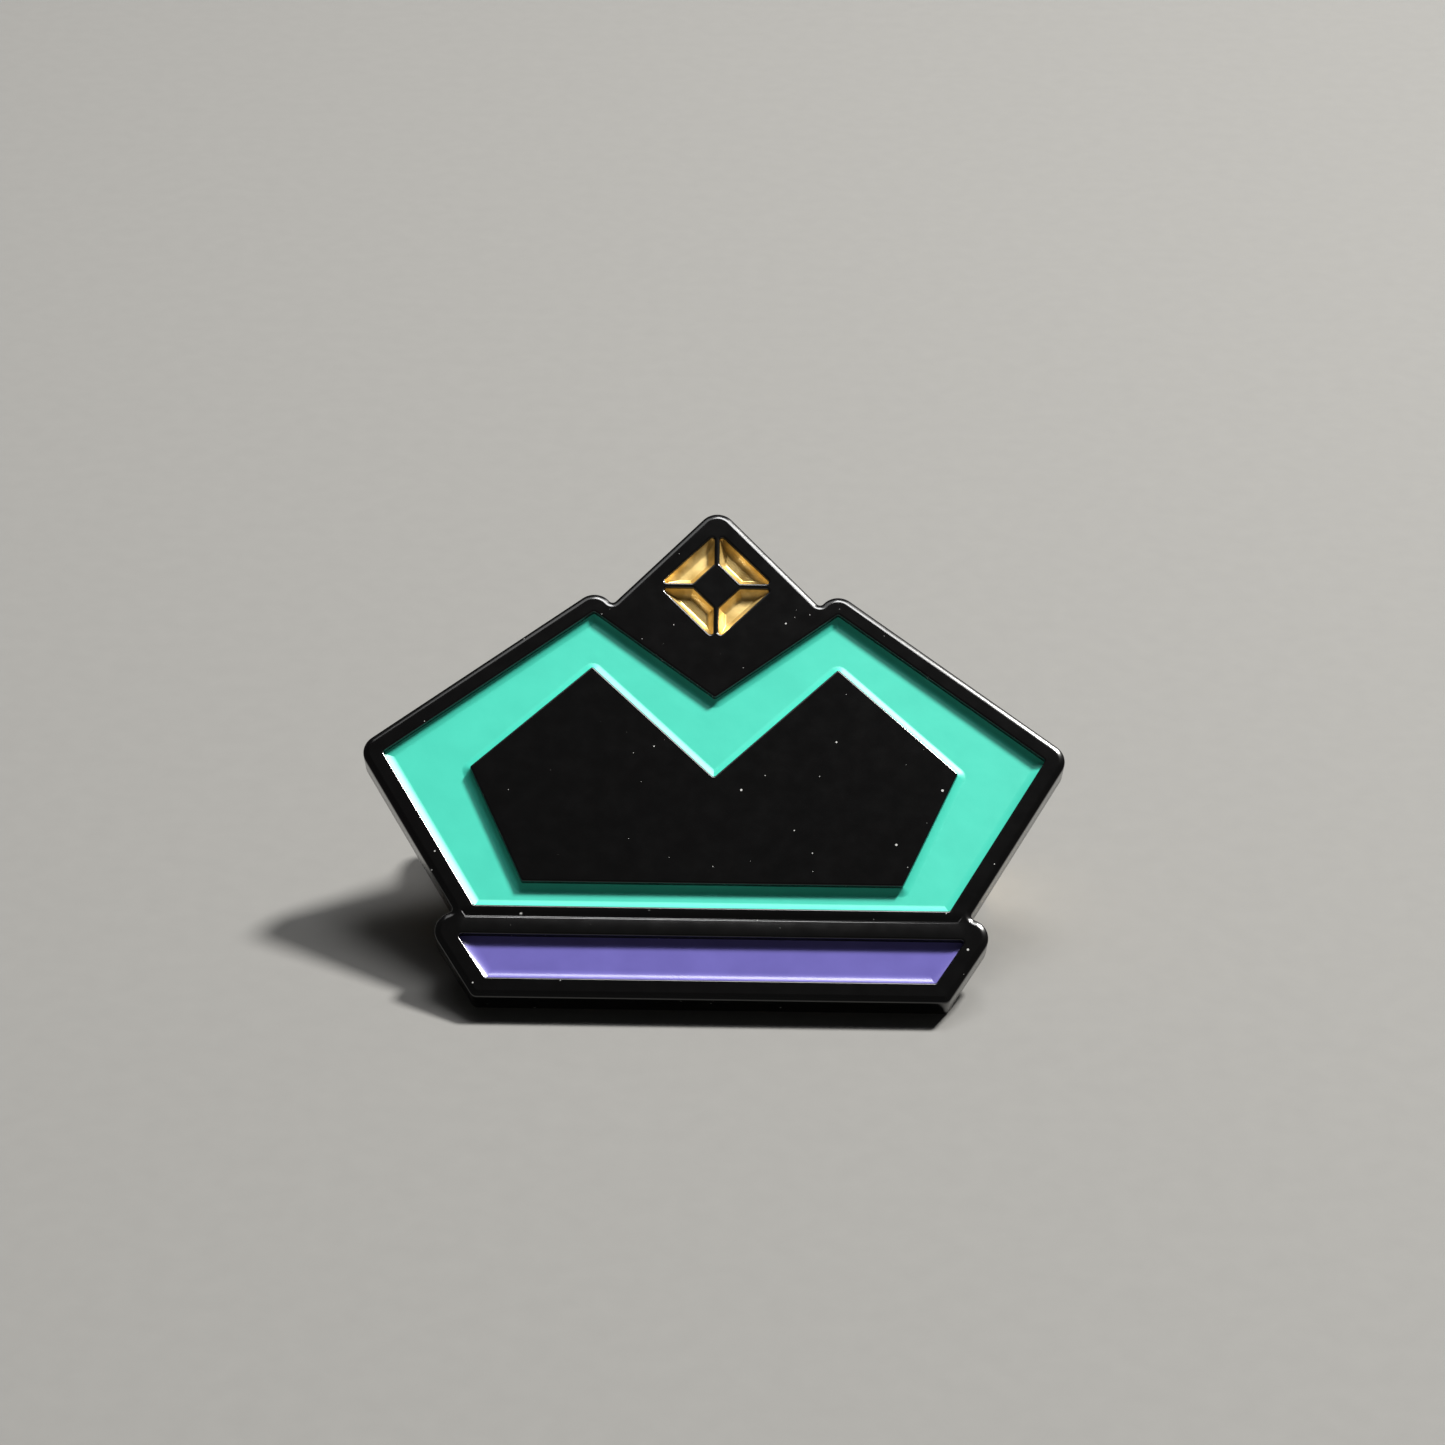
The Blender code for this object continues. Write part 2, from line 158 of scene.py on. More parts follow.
SPRING_LEG_BACK = -1.9
SPRING_GRIP_BACK = -0.6  # behind it the legs spread
SPRING_SPREAD = 0.04
SPRING_FLARE = 0.18
SPRING_FLARE_LENGTH = 0.5
WING_HINGE_X = 2.7
WING_HINGE_HEIGHT = 1.33
WING_FOOT_X = 1.05
WING_TIP_X = 5.5
WING_TIP_HEIGHT = 6.5
WING_BEND_INSET = 0.3  # of the bend's control point, from the tip
WING_BEND_RISE = 1.2  # and from the hinge
WING_FOOT_HALF_WIDTH = 1.75
WING_HANDLE_HALF_WIDTH = 2.5
WING_WIDENING = 3.0  # its reciprocal is how far along the wing reaches full width
WING_TIP_CORNER = 1.3
WING_EDGE = 0.1

# How finely curved shapes are divided
CORNER_STEPS = 12
SHOULDER_STEPS = 8
SHOULDER_ROUND_STEPS = 7
GROOVE_STEPS = 6
FILL_STEPS = 10
TIP_STEPS = 8
FILLET_STEPS = 6
PRESSED_RING_STEPS = 8
WING_STEPS = 40
WING_STEP_EASE = 1.5  # sections lie closer together towards the tip

# Colours, linear (r, g, b); a material blends its pair by noise
PLATING = ((0.0008, 0.0008, 0.0008), (0.0014, 0.0012, 0.0012))
DUST = (0.4, 0.4, 0.39)
TEAL = ((0.044, 0.478, 0.36), (0.038, 0.445, 0.335))
PURPLE = ((0.118, 0.103, 0.35), (0.103, 0.089, 0.31))
# Share of the enamel's colour left in its pits: painted shade, as the pits have no shape of their own
PIT_SHADE = 0.45
GOLD = ((0.93, 0.68, 0.27), (0.46, 0.29, 0.07))
BRASS = ((0.86, 0.66, 0.34), (0.6, 0.4, 0.17))
STEEL = ((0.5, 0.5, 0.51), (0.66, 0.65, 0.64))
SOLDER = ((0.02, 0.02, 0.021), (0.07, 0.068, 0.066))
FLOOR = ((0.152, 0.15, 0.144), (0.167, 0.165, 0.158))
FLOOR_HALF_SIZE = 1500.0

# Camera
LENS = 95.0
SENSOR_WIDTH = 36.0
CAMERA_PITCH = 29.2
CAMERA_ROLL = 0.8
CAMERA_DISTANCE = 173.4
AIM_HEIGHT = 11.53  # of the aimed point, up the face
AIM_RIGHT = -0.00223  # where the aimed point shows, as tangents from the picture's middle
AIM_UP = -0.00983

# Light: distances and sizes in metres, powers in watts
LIGHT_DISTANCE = 0.6
KEY_DIRECTION = (0.47, 0.28, 0.84)
KEY_SIZE = (0.1, 0.1)
KEY_POWER = 8.6
KEY_COLOUR = (1.0, 0.985, 0.95)
SOFTBOX_DIRECTION = (0.0, 0.3, 0.95)
SOFTBOX_SIZE = (0.5, 0.2)
SOFTBOX_POWER = 0.5
STRIP_DIRECTION = (0.12, 0.26, 0.95)
STRIP_SIZE = (0.22, 0.18)
STRIP_POWER = 1.7
WHITE = (1.0, 1.0, 1.0)
WORLD_STRENGTH = 0.06
WORLD_TONES = ((0.5, 0.5, 0.51), (1.3, 1.3, 1.28))  # overhead, and at the horizon
WORLD_OVERHEAD = 0.85  # height from which the world has its overhead tone


# ---------------------------------------------------------------- flat outlines


def arc(centre, radius, start, end, steps=8):
    """Points round a centre, from one angle to another, in degrees."""
    turns = [math.radians(start + (end - start) * i / steps) for i in range(steps + 1)]
    return [(centre[0] + radius * math.cos(t), centre[1] + radius * math.sin(t)) for t in turns]


def normal_angle(start, end):
    """Direction, in degrees, that points to the right of the way from start to end."""
    return math.degrees(math.atan2(end[1] - start[1], end[0] - start[0])) - 90.0


def notch(centre, line_point, line_angle):
    """Where the round corner at centre runs into a straight run: its end angle and the fillet's centre."""
    away = math.radians(line_angle)
    reach = RIM + NOTCH_FILLET
    across = (line_point[0] - centre[0]) * math.cos(away)
    along = (line_point[1] - centre[1]) * math.sin(away)
    end = line_angle + math.degrees(math.acos((across + along + reach) / reach))
    turn = math.radians(end)
    return end, (centre[0] + reach * math.cos(turn), centre[1] + reach * math.sin(turn))


def foot_centre(side_angle):
    """Centre of the small corner between the bottom edge and the base's side, which faces side_angle."""
    away = math.radians(side_angle)
    inset = RIM - FOOT_CORNER
    drop = (FOOT_CORNER - BASE_FOOT[1]) * math.sin(away)
    return (BASE_FOOT[0] + (inset - drop) / math.cos(away), FOOT_CORNER)


def plate_outline(inset):
    """The pin's outline, moved inwards by inset. It is all arcs, whose centres stay where they are."""
    base_side = normal_angle(BASE_FOOT, BASE_TOP)
    leg = normal_angle(LEG_FOOT, SHOULDER)
    upper = normal_angle(SHOULDER, PEAK)
    base_end, base_fillet = notch(BASE_TOP, LEG_FOOT, leg)
    peak_end, peak_fillet = notch(PEAK, APEX, APEX_FACING)
    round_corner = RIM - inset
    hollow = NOTCH_FILLET + inset
    right = arc(foot_centre(base_side), FOOT_CORNER - inset, -90.0, base_side)
    right += arc(BASE_TOP, round_corner, base_side, base_end, CORNER_STEPS)
    right += arc(base_fillet, hollow, base_end + 180.0, leg + 180.0)[1:]
    right += arc(SHOULDER, round_corner, leg, upper, CORNER_STEPS)
    right += arc(PEAK, round_corner, upper, peak_end, CORNER_STEPS)
    right += arc(peak_fillet, hollow, peak_end + 180.0, APEX_FACING + 180.0)[1:]
    right += arc(APEX, round_corner, APEX_FACING, 90.0)
    return right + [(-x, z) for x, z in reversed(right[:-1])]


def mirrored(right):
    """A closed polygon from its right half, listed from the bottom up. Points on the axis stay single."""
    return list(right) + [(-x, z) for x, z in reversed(right) if x > 0.0]


def outline(polygon, grow):
    """A closed polygon, listed anticlockwise, moved outwards by grow and rounded at its corners."""
    points = []
    for before, corner, after in zip(polygon[-1:] + polygon[:-1], polygon, polygon[1:] + polygon[:1]):
        first = normal_angle(before, corner)
        turn = (normal_angle(corner, after) - first + 180.0) % 360.0 - 180.0
        side = math.copysign(1.0, turn)
        radius = max(CELL_CORNER + side * grow, SMALLEST_CORNER)
        middle = math.radians(first + turn / 2.0)
        stretch = (grow - side * radius) / math.cos(math.radians(turn / 2.0))
        centre = (corner[0] + stretch * math.cos(middle), corner[1] + stretch * math.sin(middle))
        start = first if turn > 0.0 else first + 180.0
        points += arc(centre, radius, start, start + turn, steps=5)
    return points


def crown_cell():
    """The cell between the crown's rim and its black panel."""
    return mirrored([LEG_FOOT, SHOULDER, PEAK, VALLEY])


def panel_island():
    """The raised black panel that stands in the crown's cell."""
    return mirrored([PANEL_FOOT, PANEL_SHOULDER, PANEL_PEAK, PANEL_VALLEY])


def base_cell():
    """The cell of the bar at the bottom."""
    return mirrored([BASE_CELL_FOOT, BASE_CELL_TOP])


def gem_facet(side, up):
    """One of the four gold facets: side and up are 1 or -1 and pick the quarter."""
    line = RIDGE_HALF_WIDTH
    quarter = [
        (GEM_HALF_WIDTH * (1.0 - line / GEM_HALF_HEIGHT), line),
        (line, GEM_HALF_HEIGHT * (1.0 - line / GEM_HALF_WIDTH)),
        (line, TABLE_HALF_HEIGHT * (1.0 - line / TABLE_HALF_WIDTH)),
        (TABLE_HALF_WIDTH * (1.0 - line / TABLE_HALF_HEIGHT), line),
    ]
    placed = [(side * x, GEM_CENTRE_Z + up * z) for x, z in quarter]
    return placed if side * up > 0 else placed[::-1]


# ---------------------------------------------------------------- mesh helpers


def ring(bm, points, depth):
    """A closed row of vertices along an outline, at a depth behind the front face."""
    return [bm.verts.new((x, depth, z)) for x, z in points]


def bridge(bm, near, far):
    """Quads between two closed rows with as many vertices each."""
    for i in range(len(near)):
        j = (i + 1) % len(near)
        bm.faces.new((near[i], near[j], far[j], far[i]))


def skin(bm, rings):
    """Quads from each closed row to the next."""
    for near, far in zip(rings, rings[1:]):
        bridge(bm, near, far)


def edge_between(bm, a, b):
    """The edge that joins two vertices, made if there is none yet."""
    return bm.edges.get((a, b)) or bm.edges.new((a, b))


def cap(bm, *loops):
    """Fills the flat region between closed rows of vertices."""
    edges = [edge_between(bm, a, b) for loop in loops for a, b in zip(loop, loop[1:] + loop[:1])]
    bmesh.ops.triangle_fill(bm, use_beauty=True, edges=edges)


def finished_mesh(bm, name, sharp=40.0):
    """Turns a bmesh drawn in millimetres into a smooth-shaded mesh in metres."""
    bmesh.ops.recalc_face_normals(bm, faces=bm.faces)
    bmesh.ops.scale(bm, vec=(MM, MM, MM), verts=bm.verts)
    mesh = bpy.data.meshes.new(name)
    bm.to_mesh(mesh)
    bm.free()
    mesh.shade_smooth()
    mesh.set_sharp_from_angle(angle=math.radians(sharp))
    return mesh


def add_object(name, data):
    """A new object in the scene, at the origin."""
    made = bpy.data.objects.new(name, data)
    bpy.context.scene.collection.objects.link(made)
    return made


def piece(name, data, finish, place, body, cad_node):
    """A finished piece: placed, painted, riding on its body and standing for its CAD node."""
    data.transform(place)
    data.materials.append(finish)
    made = add_object(name, data)
    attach(made, body)
    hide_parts(cad_node)


def turned(name, profile, closed, steps=72):
    """Mesh of a profile of (radius, height) points turned round the Y axis. A point on the axis stays one."""
    bm = bmesh.new()
    rows = []
    for radius, height in profile:
        sides = steps if radius > 0.0 else 1
        turns = [math.tau * i / sides for i in range(sides)]
        rows.append([bm.verts.new((radius * math.cos(t), height, radius * math.sin(t))) for t in turns])
    for row, following in zip(rows, rows[1:] + (rows[:1] if closed else [])):
        for i in range(steps):
            j = i + 1
            corners = [row[i % len(row)], row[j % len(row)]]
            corners += [following[j % len(following)], following[i % len(following)]]
            bm.faces.new(dict.fromkeys(corners))
    return finished_mesh(bm, name)


# ---------------------------------------------------------------- material helpers


def new_material(name, roughness, metallic=0.0):
    """A Principled material, with its node tree and its shader."""
    made = bpy.data.materials.new(name)
    made.use_nodes = True
    tree = made.node_tree
    shader = tree.nodes["Principled BSDF"]
    shader.inputs["Roughness"].default_value = roughness
    shader.inputs["Metallic"].default_value = metallic
    return made, tree, shader


def node(tree, kind, inputs=None, **settings):
    """A shader node with its settings, and its inputs set or linked."""
    made = tree.nodes.new(kind)
    for key, value in settings.items():
        setattr(made, key, value)
    for key, value in (inputs or {}).items():
        if isinstance(value, bpy.types.NodeSocket):
            tree.links.new(value, made.inputs[key])
        else:
            made.inputs[key].default_value = value
    return made


def place_coordinates(tree):
    """The piece's own coordinates, in metres."""
    return node(tree, "ShaderNodeTexCoord").outputs["Object"]


def noise(tree, size_mm, detail=3.0, rough=0.5, stretch=(1.0, 1.0, 1.0)):
    """Noise whose blotches are about size_mm across, drawn on the piece's own coordinates."""
    scaled = node(
        tree, "ShaderNodeMapping", {"Vector": place_coordinates(tree), "Scale": stretch}
    ).outputs["Vector"]
    settings = {"Vector": scaled, "Scale": 1.0 / (size_mm * MM), "Detail": detail, "Roughness": rough}
    return node(tree, "ShaderNodeTexNoise", settings).outputs["Fac"]


def remap(tree, value, low, high, out_low, out_high):
    """A value moved from one range to another, and held inside it."""
    settings = {"Value": value, "From Min": low, "From Max": high, "To Min": out_low, "To Max": out_high}
    return node(tree, "ShaderNodeMapRange", settings).outputs["Result"]


def blend(tree, factor, first, second):
    """Colour mixed from first to second; each is a socket or an (r, g, b)."""
    made = node(tree, "ShaderNodeMix", data_type="RGBA")
    for key, value in ((0, factor), (6, first), (7, second)):
        if isinstance(value, bpy.types.NodeSocket):
            tree.links.new(value, made.inputs[key])
        elif isinstance(value, tuple):
            made.inputs[key].default_value = (*value, 1.0)
        else:
            made.inputs[key].default_value = value
    return made.outputs[2]


def math_node(tree, operation, first, second=0.0):
    """The result of one operation on two sockets or numbers."""
    return node(tree, "ShaderNodeMath", {0: first, 1: second}, operation=operation).outputs[0]


def bump(tree, height, depth_mm, below=None):
    """A bumped normal, laid over the bump below if there is one."""
    settings = {"Height": height, "Distance": depth_mm * MM, "Strength": 1.0}
    if below is not None:
        settings["Normal"] = below
    return node(tree, "ShaderNodeBump", settings).outputs["Normal"]


def specks(tree, spacing_mm, radius_mm, share):
    """A mask that is 1 on small specks up to radius_mm, scattered spacing_mm apart; share of them show."""
    cells = node(
        tree,
        "ShaderNodeTexVoronoi",
        {"Vector": place_coordinates(tree), "Scale": 1.0 / (spacing_mm * MM), "Randomness": 1.0},
    )
    pick = node(tree, "ShaderNodeSeparateColor", {"Color": cells.outputs["Color"]}).outputs
    size = remap(tree, pick["Green"], 0.0, 1.0, 0.35 * radius_mm / spacing_mm, radius_mm / spacing_mm)
    dot = math_node(tree, "LESS_THAN", cells.outputs["Distance"], size)
    shown = math_node(tree, "LESS_THAN", pick["Red"], share)
    return math_node(tree, "MULTIPLY", dot, shown)


# ---------------------------------------------------------------- finishes


def black_plating():
    """Glossy black plating: a faint orange peel, fine wear, and a little dust."""
    made, tree, shader = new_material("black_plating", 0.2)
    shader.inputs["IOR"].default_value = 1.65
    cloud = noise(tree, 3.0, detail=5.0)
    tone = blend(tree, cloud, *PLATING)
    dust = math_node(tree, "MAXIMUM", specks(tree, 1.0, 0.06, 0.8), specks(tree, 0.5, 0.024, 0.7))
    tree.links.new(blend(tree, dust, tone, DUST), shader.inputs["Base Color"])
    rough = remap(tree, noise(tree, 0.8, detail=6.0), 0.35, 0.7, 0.15, 0.175)
    tree.links.new(math_node(tree, "MAXIMUM", rough, dust), shader.inputs["Roughness"])
    peel = bump(tree, noise(tree, 0.5, detail=2.0), 0.0012)
    tree.links.new(bump(tree, dust, 0.01, peel), shader.inputs["Normal"])
    return made


def enamel(name, tones, roughness, shine, peel_mm):
    """Soft enamel: slight mottling of its colour, a few pits painted darker as painted shade, and an
    orange-peel surface with fine grain.
    """
    made, tree, shader = new_material(name, roughness)
    shader.inputs["Specular IOR Level"].default_value = shine
    mottle = remap(tree, noise(tree, 1.6, detail=4.0), 0.3, 0.7, 0.0, 1.0)
    # The pits are painted shade: only their colour is darkened, their surface stays flat
    shaded_pits = specks(tree, 1.1, 0.025, 0.1)
    tone = blend(tree, mottle, *tones)
    pit_shade_tone = tuple(PIT_SHADE * c for c in tones[0])
    tree.links.new(blend(tree, shaded_pits, tone, pit_shade_tone), shader.inputs["Base Color"])
    grain = bump(tree, noise(tree, 0.12, detail=3.0), peel_mm * 0.2)
    tree.links.new(bump(tree, noise(tree, 0.7, detail=1.0), peel_mm * 3.0, grain), shader.inputs["Normal"])
    return made


def gold_paint():
    """Metallic gold paint: fine flakes, thinner and browner in patches."""
    made, tree, shader = new_material("gold_enamel", 0.34, 0.65)
    flakes = noise(tree, 0.06, detail=2.0)
    patches = remap(tree, noise(tree, 0.9, detail=3.0), 0.35, 0.65, 0.0, 0.85)
    tree.links.new(blend(tree, patches, *GOLD), shader.inputs["Base Color"])
    tree.links.new(bump(tree, flakes, 0.004), shader.inputs["Normal"])
    return made


def stamped_brass():
    """Bright plated sheet with drawn lines, slight waves and a little tarnish."""
    made, tree, shader = new_material("clutch_brass", 0.25, 1.0)
    tarnish = remap(tree, noise(tree, 2.2, detail=5.0), 0.45, 0.75, 0.0, 0.55)
    tree.links.new(blend(tree, tarnish, *BRASS), shader.inputs["Base Color"])
    lines = noise(tree, 0.16, detail=2.0, stretch=(1.0, 0.1, 1.0))
    tree.links.new(remap(tree, lines, 0.3, 0.7, 0.17, 0.27), shader.inputs["Roughness"])
    waves = bump(tree, noise(tree, 1.4, detail=2.0), 0.006)
    tree.links.new(bump(tree, lines, 0.0009, waves), shader.inputs["Normal"])
    return made


def drawn_steel():
    """Spring wire with fine drawing marks."""
    made, tree, shader = new_material("spring_steel", 0.28, 1.0)
    marks = noise(tree, 0.1, detail=4.0)
    tree.links.new(blend(tree, marks, *STEEL), shader.inputs["Base Color"])
    tree.links.new(remap(tree, marks, 0.3, 0.7, 0.2, 0.4), shader.inputs["Roughness"])
    tree.links.new(bump(tree, marks, 0.001), shader.inputs["Normal"])
    return made


def dark_solder():
    """Solder under black plating: lumpy and duller than the plate."""
    made, tree, shader = new_material("solder", 0.42, 0.6)
    lumps = noise(tree, 0.35, detail=4.0)
    tree.links.new(blend(tree, lumps, *SOLDER), shader.inputs["Base Color"])
    tree.links.new(remap(tree, lumps, 0.3, 0.7, 0.3, 0.55), shader.inputs["Roughness"])
    tree.links.new(bump(tree, lumps, 0.05), shader.inputs["Normal"])
    return made


def floor_paint():
    """Plain pale matt floor."""
    made, tree, shader = new_material("floor", 0.9)
    shade = noise(tree, 1.2, detail=4.0)
    tree.links.new(blend(tree, shade, *FLOOR), shader.inputs["Base Color"])
    return made


# ---------------------------------------------------------------- the plate and its fills


def quarter(size, steps=4):
    """(inset, drop) along a quarter oval of a width and a depth, from the flat face to the wall."""
    turns = [math.pi / 2.0 * i / steps for i in range(steps + 1)]
    return [(size[0] * (1.0 - math.sin(t)), size[1] * (1.0 - math.cos(t))) for t in turns]


def rim_shoulder():
    """(inset, drop) over the rim's worn shoulder: a slope that steepens slowly, then a small round."""
    end = math.atan(SHOULDER_SLOPE)
    run = SHOULDER_WIDTH - SHOULDER_ROUND * (1.0 - math.sin(end))
    levels = []
    for i in range(SHOULDER_STEPS + 1):
        t = i / SHOULDER_STEPS
        levels.append((SHOULDER_WIDTH - run * t, SHOULDER_SLOPE * run * t**SHOULDER_EASE / SHOULDER_EASE))
    low = levels[-1][1]
    for i in range(1, SHOULDER_ROUND_STEPS + 1):
        turn = end + (math.pi / 2.0 - end) * i / SHOULDER_ROUND_STEPS
        drop = low + SHOULDER_ROUND * (math.cos(end) - math.cos(turn))
        levels.append((SHOULDER_ROUND * (1.0 - math.sin(turn)), drop))
    return levels


def groove_rows(bm, left, right):
    """Rows of vertices across the face, from one notch to the other, that make the bar's groove."""
    reach = right.co.x - GROOVE_END
    rows = []
    for i in range(GROOVE_STEPS + 1):
        t = i / GROOVE_STEPS
        height = GROOVE_Z + GROOVE_HALF_WIDTH * (1.0 - 2.0 * t)
        sink = GROOVE_DEPTH * math.sin(math.pi * t) ** 2
        rows.append([bm.verts.new((x, sink, height)) for x in (-reach, 0.0, reach)])
    for upper, lower in zip(rows, rows[1:]):
        chain_a = [left] + upper + [right]
        chain_b = [left] + lower + [right]
        bm.faces.new((left, chain_a[1], chain_b[1]))
        bm.faces.new((right, chain_a[-2], chain_b[-2]))
        for i in range(1, len(chain_a) - 2):
            bm.faces.new((chain_a[i], chain_a[i + 1], chain_b[i + 1], chain_b[i]))
    return rows[0], rows[-1]


def cell_rings(bm, polygon, direction):
    """Rings from the face down a cell's wall: direction is 1 for a recess and -1 for an island."""
    levels = [(LIP[0] + GUARD, 0.0)] + quarter(LIP) + [(-DRAFT, CELL_DEPTH)]
    return [ring(bm, outline(polygon, direction * grow), depth) for grow, depth in levels]


def make_plate(finish, place):
    """The struck plate: rim and back, then the cells' walls and floors, then the face with its groove."""
    bm = bmesh.new()
    front = [(SHOULDER_WIDTH + GUARD, 0.0)] + rim_shoulder()
    back = [(inset, THICKNESS - drop) for inset, drop in reversed(quarter(BACK_EDGE))]
    back.append((BACK_EDGE[0] + GUARD, THICKNESS))
    rings = [ring(bm, plate_outline(inset), depth) for inset, depth in front + back]
    skin(bm, rings)
    cap(bm, rings[-1])

    crown = cell_rings(bm, crown_cell(), 1.0)
    island = cell_rings(bm, panel_island(), -1.0)
    base = cell_rings(bm, base_cell(), 1.0)
    gems = [cell_rings(bm, gem_facet(side, up), 1.0) for side in (-1, 1) for up in (-1, 1)]
    for walls in [crown, island, base] + gems:
        skin(bm, walls)
    cap(bm, crown[-1], island[-1])
    cap(bm, island[0])
    for walls in [base] + gems:
        cap(bm, walls[-1])

    face = rings[0]
    notches = [v for v in face if BASE_TOP[1] < v.co.z < LEG_FOOT[1]]
    right = min((v for v in notches if v.co.x > 0.0), key=lambda v: v.co.x)
    left = min((v for v in notches if v.co.x < 0.0), key=lambda v: -v.co.x)
    upper_row, lower_row = groove_rows(bm, left, right)
    start, end = face.index(right), face.index(left)
    crown_side = face[start : end + 1] + upper_row
    base_side = face[end:] + face[: start + 1] + lower_row[::-1]
    cap(bm, crown_side, crown[0], *[walls[0] for walls in gems])
    cap(bm, base_side, base[0])
    mesh = finished_mesh(bm, "plate", sharp=60.0)
    piece("plate", mesh, finish, place, "pin", "pin_body")


def fill_rings(bm, polygon, direction, fill):
    """Rings of an enamel's surface, from the flat middle up to the wall and down to the cell's floor.

    The enamel creeps further up the wall at the cell's lower end than at its upper end by its pool share.
    """
    low = min(z for _, z in polygon)
    tall = max(z for _, z in polygon) - low
    rings = []
    for away in [1.0 + GUARD / fill["width"]] + [i / FILL_STEPS for i in range(FILL_STEPS, -1, -1)]:
        edge = outline(polygon, -direction * (away * fill["width"] + FILL_CLEARANCE))
        climb = fill["rise"] * max(1.0 - away, 0.0) ** fill["curl"]
        row = []
        for x, z in edge:
            share = 1.0 + fill["pool"] * (1.0 - 2.0 * (z - low) / tall)
            row.append(bm.verts.new((x, fill["sink"] - climb * share, z)))
        rings.append(row)
    foot = outline(polygon, -direction * (DRAFT + FILL_CLEARANCE))
    return rings + [ring(bm, foot, CELL_DEPTH - FILL_FLOOR_CLEARANCE)]


def make_fill(name, cad_node, polygon, island, fill, finish, place):
    """One enamel fill: it covers a cell, and goes round the island if there is one."""
    bm = bmesh.new()
    walls = [fill_rings(bm, polygon, 1.0, fill)]
    if island:
        walls.append(fill_rings(bm, island, -1.0, fill))
    for rings in walls:
        skin(bm, rings)
    cap(bm, *[rings[0] for rings in walls])
    cap(bm, *[rings[-1] for rings in walls])
    piece(name, finished_mesh(bm, name, sharp=50.0), finish, place, "pin", cad_node)


def make_fills(finishes, place):
    """The teal, purple and four gold enamel fills."""
    teal, purple, gold = finishes["teal"], finishes["purple"], finishes["gold"]
    crown, panel, base = crown_cell(), panel_island(), base_cell()
    make_fill("teal_fill", "teal_enamel", crown, panel, TEAL_FILL, teal, place)
    make_fill("purple_fill", "purple_enamel", base, None, PURPLE_FILL, purple, place)
    for side, across in ((-1, "left"), (1, "right")):
        for up, along in ((-1, "lower"), (1, "upper")):
            quarter_name = f"{along}_{across}"
            name, cad_node = f"gold_fill_{quarter_name}", f"gold_facet_{quarter_name}"
            make_fill(name, cad_node, gem_facet(side, up), None, GOLD_FILL, gold, place)


# ---------------------------------------------------------------- posts and clutches


def make_post(side, finishes, place):
    """A needle post with its pad, and the ring of solder round the pad."""
    pad_top = GAP + POST_PAD_THICKNESS
    pad_edge = (POST_PAD_RADIUS - POST_PAD_ROUND, pad_top - POST_PAD_ROUND)
    root = (POST_RADIUS + POST_ROOT_ROUND, pad_top + POST_ROOT_ROUND)
    shaft = [(0.0, GAP), (POST_PAD_RADIUS, GAP)]
    shaft += arc(pad_edge, POST_PAD_ROUND, 0.0, 90.0, steps=4)
    shaft += arc(root, POST_ROOT_ROUND, 270.0, 180.0, steps=4)
    shaft += [(POST_RADIUS, POST_NECK_START), (POST_NECK_RADIUS, POST_NECK_START + POST_NECK_TAPER)]
    shaft += [(POST_NECK_RADIUS, POST_NECK_END - POST_NECK_TAPER), (POST_RADIUS, POST_NECK_END)]
    for i in range(TIP_STEPS + 1):
        t = i / TIP_STEPS
        length = POST_TIP_START + (POST_LENGTH - POST_TIP_START) * t
        shaft.append((POST_RADIUS * (1.0 - t**POST_TIP_BULGE), length))
    name = f"{side}_needle_post"
    mesh = turned(name, shaft, closed=False)
    piece(name, mesh, finishes["black"], place, "pin", f"{side}_post")

    inner = POST_PAD_RADIUS + SOLDER_GAP
    fillet = [(inner, GAP), (inner + SOLDER_WIDTH, GAP)]
    for i in range(1, FILLET_STEPS + 1):
        t = i / FILLET_STEPS
        height = POST_PAD_THICKNESS * (SOLDER_CLIMB * t * t + SOLDER_SWELL * math.sin(math.pi * t))
        fillet.append((inner + SOLDER_WIDTH * (1.0 - t) ** SOLDER_TAPER, GAP + height))
    name = f"{side}_solder_fillet"
    mesh = turned(name, fillet, closed=True)
    piece(name, mesh, finishes["solder"], place, "pin", f"{side}_post_solder")


def make_clutch_base(side, finishes, place):
    """The round sheet base: a raised middle, a pressed ring and a curled edge."""
    top = CLUTCH_FLOOR + SHEET
    centre = (CURL_CENTRE_RADIUS, CLUTCH_FLOOR + CURL_RADIUS)
    hole, edge = CLUTCH_HOLE_RADIUS, CLUTCH_HOLE_EDGE
    profile = [(hole, top - edge), (hole, CLUTCH_FLOOR + edge), (hole + edge, CLUTCH_FLOOR)]
    profile += arc(centre, CURL_RADIUS, -90.0, CURL_END, steps=20)
    profile += arc(centre, CURL_RADIUS - SHEET, CURL_END, -90.0, steps=10)
    for i in range(PRESSED_RING_STEPS + 1):
        swell = PRESSED_RING_HEIGHT * math.sin(math.pi * i / PRESSED_RING_STEPS) ** 2
        radius = PRESSED_RING_RADIUS - PRESSED_RING_WIDTH * i / PRESSED_RING_STEPS
        profile.append((radius, top + swell))
    profile.append((hole + edge, top))
    name = f"{side}_base_disc"
    mesh = turned(name, profile, closed=True, steps=96)
    piece(name, mesh, finishes["brass"], place, f"{side}_clutch", f"{side}_clutch_base")


def box_mesh(name, low, high):
    """A box between two corners."""
    bm = bmesh.new()
    bmesh.ops.create_cube(bm, size=1.0)
    size = Vector(high) - Vector(low)
    bmesh.ops.scale(bm, vec=size, verts=bm.verts)
    bmesh.ops.translate(bm, vec=(Vector(low) + Vector(high)) / 2.0, verts=bm.verts)
    return finished_mesh(bm, name)


